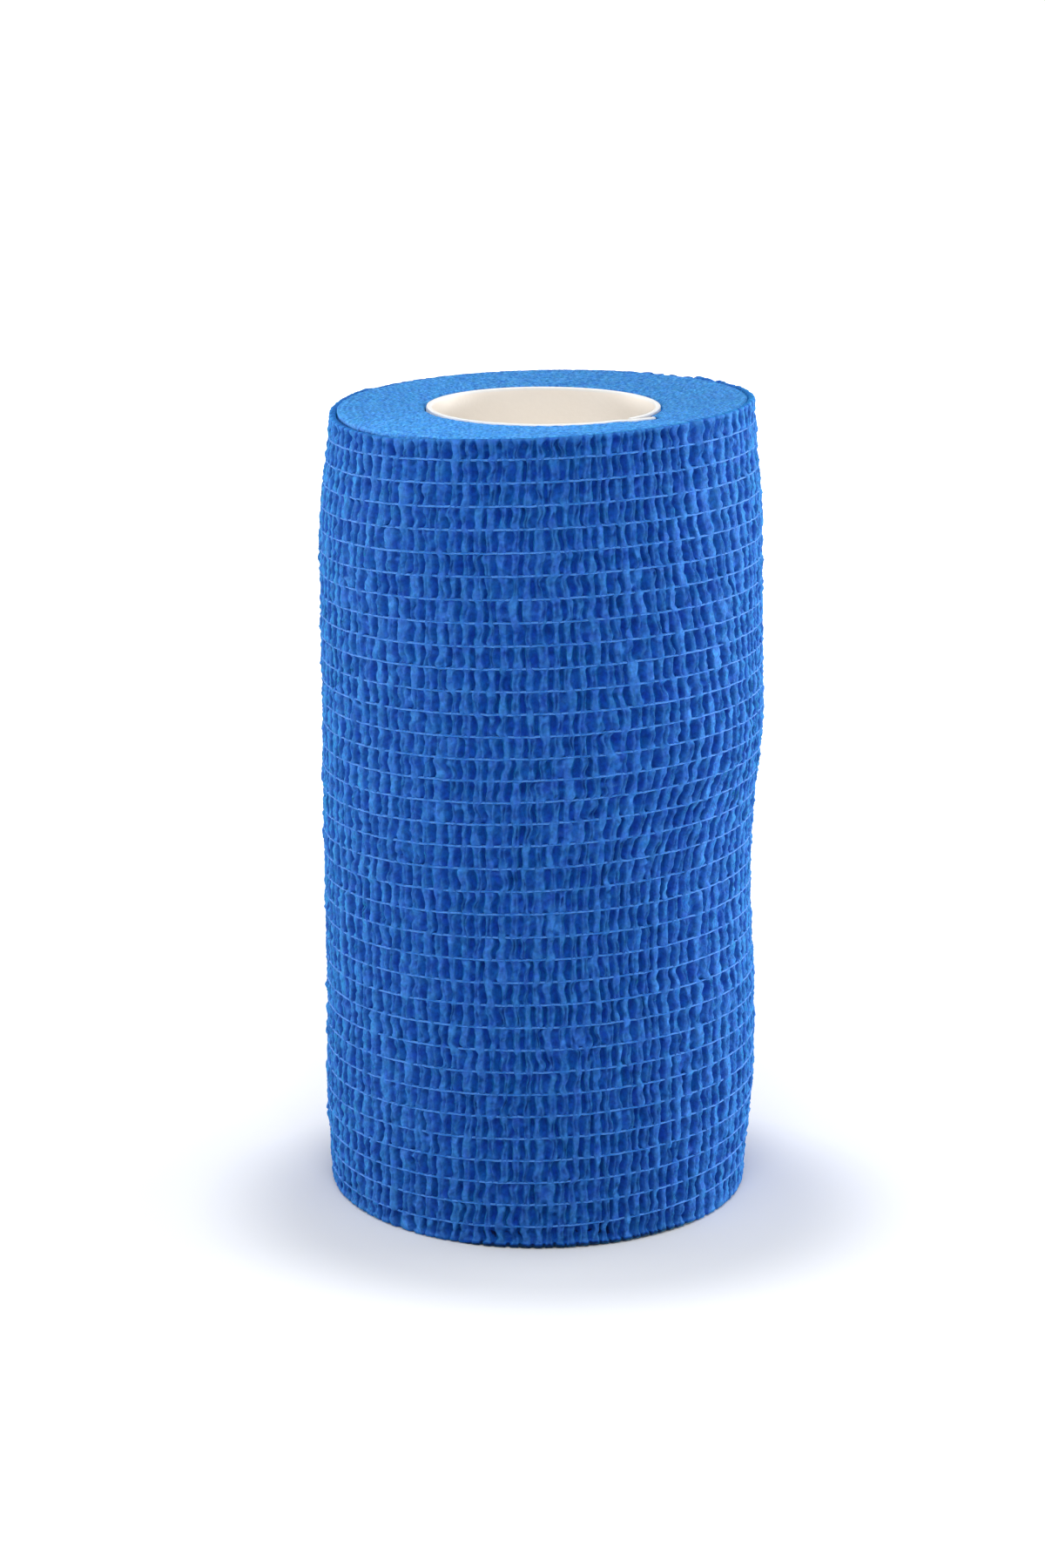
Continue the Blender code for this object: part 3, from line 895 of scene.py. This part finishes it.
def face_rings(face):
    """A ring-shaped plate's points and tones, from under its outer edge, inwards and down."""
    angle = round_angles(face.steps)
    nominal = BANDAGE_WIDTH if face.at_top else 0.0
    wide = in_zone(angle, WIDE_GAP_ZONE) + SOME_GAP * in_zone(angle, SOME_GAP_ZONE)
    gap = FACE_GAP + (FACE_WIDE_GAP - FACE_GAP) * wide * face.at_top
    inset = EDGE_INSET + TOP_EDGE[-1][0] * MILLIMETRE + gap
    outside = wall_points(angle, nominal, 0.0, inset)
    inside = bore_points(angle, 0.0, FACE_BORE_GAP)
    back_shade = (1 + np.cos(angle - FACE_BACK)) / 2
    rings, tones = [], []
    for step in range(face.steps_across + 1):
        share = 1 - step / face.steps_across
        points = inside + (outside - inside) * share
        radius = np.hypot(points[:, 0], points[:, 1])
        turn = (radius / FACE_TURN + share_past(angle, CUT_END)) % 1.0
        edges = np.cos(2 * pi * turn)
        coarse = crinkle(points, FACE_GRAIN_SIZE, face.seed)
        fine = crinkle(points, FACE_FINE_SIZE, face.seed + 5)
        relief = FACE_GROOVE * edges + FACE_GRAIN * (coarse + FACE_FINE_SHARE * fine)
        shows = TURN_TONE_MEAN + crinkle(points, TURN_TONE_SIZE, face.seed + 9)
        core_shade = np.exp(-share / FACE_EDGE_REACH)
        # painted shade towards the back and where the face meets the core
        tone = 1 - FACE_BACK_SHADE * back_shade - FACE_CORE_SHADE * core_shade
        tones.append(tone + FACE_TURN_TONE * edges * shows)
        if face.at_top:
            dip = CORE_PROUD * (1 - smooth_step(share / CORE_DIP))
            points[:, 2] = top_height(angle, share ** SLANT_POWER) - dip + relief
            if step in (0, face.steps_across):
                points[:, 2] -= FACE_EDGE_ROUND
        else:
            points[:, 2] = np.abs(relief)
        rings.append(points)
    low_edge, low_bore = outside.copy(), inside.copy()
    under = BANDAGE_WIDTH - FACE_DEPTH if face.at_top else FACE_DEPTH
    low_edge[:, 2] = low_bore[:, 2] = under
    return [low_edge] + rings + [low_bore], [tones[0]] + tones + [tones[-1]]


for face in END_FACES:
    rings, tones = face_rings(face)
    if not face.at_top:
        rings, tones = rings[::-1], tones[::-1]
    edges = [0, 1, len(rings) - 2, len(rings) - 1]
    ring_piece(face.name, rings, tones, edges, felt_face())

# ---- The studio ----------------------------------------------------------------------------
# A white table under two broad side lights, a top light and a front light, as for a shop
# photograph. The table glows with painted light, but for a soft oval under the roll, left
# unlit as a painted shadow.

TABLE_SIZE = 6.0
TABLE_WHITE = (0.72, 0.735, 0.755, 1.0)
TABLE_WHITE_DARK = (0.70, 0.715, 0.735, 1.0)
TABLE_CLOUDS = 3
TABLE_SPECULAR = 0.2
TABLE_ROUGHNESS = 0.6
GLOW_START, GLOW_END = 0.031, 0.052  # the oval's edge, over which the painted glow comes up and the painted shadow ends
GLOW_NEAR, GLOW_FAR = 0.30, 1.0  # the glow just outside the edge, and all the way back
GLOW_BACK = 0.50
OVAL_SCALE = (1.07, 1.2, 1.0)  # the oval is less deep than wide
OVAL_SHIFT = (-0.0016, 0.0144, 0.0)  # and reaches further in front of the roll than behind it

Softbox = namedtuple("Softbox", "name place width height power")
SOFTBOXES = (
    Softbox("left_softbox", (-0.95, 0.30, 0.12), 0.8, 0.22, 8.0),
    Softbox("right_softbox", (0.95, 0.30, 0.12), 0.8, 0.22, 12.6),
    Softbox("top_softbox", (0.0, -0.10, 1.10), 1.2, 1.2, 10.3),
    Softbox("front_softbox", (0.0, -0.75, 0.95), 0.6, 0.6, 5.3),
)
ROLL_MIDDLE = (0, 0, 0.05)  # the lights face it
ROOM_WHITE = (1.0, 1.0, 1.0, 1.0)
ROOM_LIGHT = 0.12
CAMERA_PLACE = (0.0, -0.4633, 0.17615)
CAMERA_TURN = (radians(74.97), 0.0, radians(0.2825))
CAMERA_LENS = 87.24
CAMERA_SENSOR = 36.0


def painted_glow_table():
    material, nodes, links, shader = new_material("white_table", TABLE_SPECULAR)
    place = nodes.new("ShaderNodeTexCoord").outputs["Object"]
    clouds = noise_node(nodes, links, place, TABLE_CLOUDS)
    white = ramp_node(
        nodes, links, clouds, [(NOISE_LOW, TABLE_WHITE_DARK), (NOISE_HIGH, TABLE_WHITE)]
    )
    links.new(white, shader.inputs["Base Color"])
    shader.inputs["Roughness"].default_value = TABLE_ROUGHNESS
    oval = nodes.new("ShaderNodeMapping")
    oval.inputs["Scale"].default_value = OVAL_SCALE
    oval.inputs["Location"].default_value = OVAL_SHIFT
    links.new(place, oval.inputs["Vector"])
    length = nodes.new("ShaderNodeVectorMath")
    length.operation = "LENGTH"
    links.new(oval.outputs["Vector"], length.inputs[0])
    reach = length.outputs["Value"]
    # painted glow: none in the oval under the roll, so that it reads as a soft painted shadow
    near = range_node(nodes, links, reach, (GLOW_START, GLOW_END), (0.0, GLOW_NEAR), "SMOOTHSTEP")
    back = range_node(nodes, links, reach, (GLOW_END, GLOW_BACK), (0.0, GLOW_FAR - GLOW_NEAR))
    glow = nodes.new("ShaderNodeMath")
    glow.operation = "ADD"
    links.new(near, glow.inputs[0])
    links.new(back, glow.inputs[1])
    links.new(glow.outputs["Value"], shader.inputs["Emission Strength"])
    shader.inputs["Emission Color"].default_value = ROOM_WHITE
    return material


bpy.ops.object.select_all(action="DESELECT")
bpy.ops.mesh.primitive_plane_add(size=TABLE_SIZE, location=(0, 0, 0))
floor = bpy.context.object
floor.name = "white_table"
floor.data.materials.append(painted_glow_table())

for softbox in SOFTBOXES:
    bpy.ops.object.light_add(type="AREA", location=softbox.place)
    light = bpy.context.object
    light.name = softbox.name
    light.data.shape = "RECTANGLE"
    light.data.size = softbox.width
    light.data.size_y = softbox.height
    light.data.energy = softbox.power
    away = light.location - Vector(ROLL_MIDDLE)
    light.rotation_euler = away.to_track_quat("Z", "Y").to_euler()

room = bpy.data.worlds.new("white_studio")
room.use_nodes = True
room.node_tree.nodes["Background"].inputs["Color"].default_value = ROOM_WHITE
room.node_tree.nodes["Background"].inputs["Strength"].default_value = ROOM_LIGHT
bpy.context.scene.world = room
bpy.context.scene.view_settings.view_transform = "Standard"

bpy.ops.object.camera_add(location=CAMERA_PLACE, rotation=CAMERA_TURN)
camera = bpy.context.object
camera.name = "camera"
camera.data.lens = CAMERA_LENS
camera.data.sensor_width = CAMERA_SENSOR
bpy.context.scene.camera = camera
